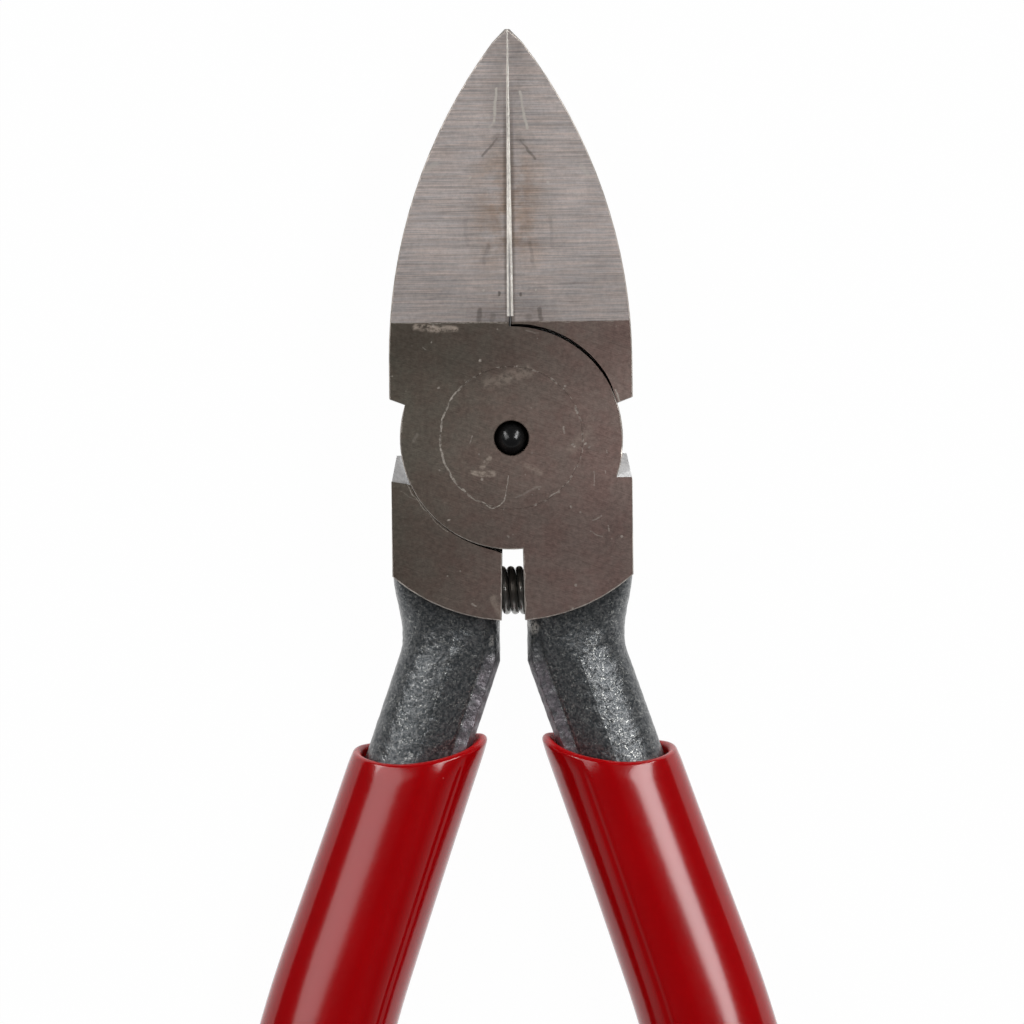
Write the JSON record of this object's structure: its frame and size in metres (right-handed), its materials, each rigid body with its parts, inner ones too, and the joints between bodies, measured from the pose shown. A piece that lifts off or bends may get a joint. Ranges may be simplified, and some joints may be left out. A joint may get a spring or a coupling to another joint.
{
  "type": "gate cutter",
  "caption": "Hand cutter with flush-ground blades, a lap joint on a flush rivet, a coil return spring between the tangs and red vinyl sleeves on splayed handles.",
  "frame": {"origin": "on the pivot axis, in the plane of the rear face that the tool lies on", "axes": "+X across the tool to the right as seen from the front, +Y from the pivot to the blade tips, +Z from the rear face to the front face"},
  "size_m": [0.0506, 0.1499, 0.01],
  "materials": {
    "forged_steel": "ground head and blades, dark forged tangs",
    "blackened_steel": "black oxide, glossy",
    "red_vinyl": "glossy dipped vinyl"
  },
  "bodies": {
    "front_half": {"front_lever": "forged_steel", "right_grip": "red_vinyl", "pivot_rivet": "forged_steel", "pivot_ball": "blackened_steel", "return_spring": "blackened_steel"},
    "rear_half": {"rear_lever": "forged_steel", "left_grip": "red_vinyl"}
  },
  "joints": [
    {"name": "pivot_hinge", "type": "hinge", "parent": "front_half", "child": "rear_half", "pos_m": [0, 0, 0.005], "axis": [0, 0, -1], "range_deg": [0, 25], "stiffness_Nm_per_rad": 0.25, "springref_deg": 34.38, "deforming": ["return_spring"]}
  ]
}
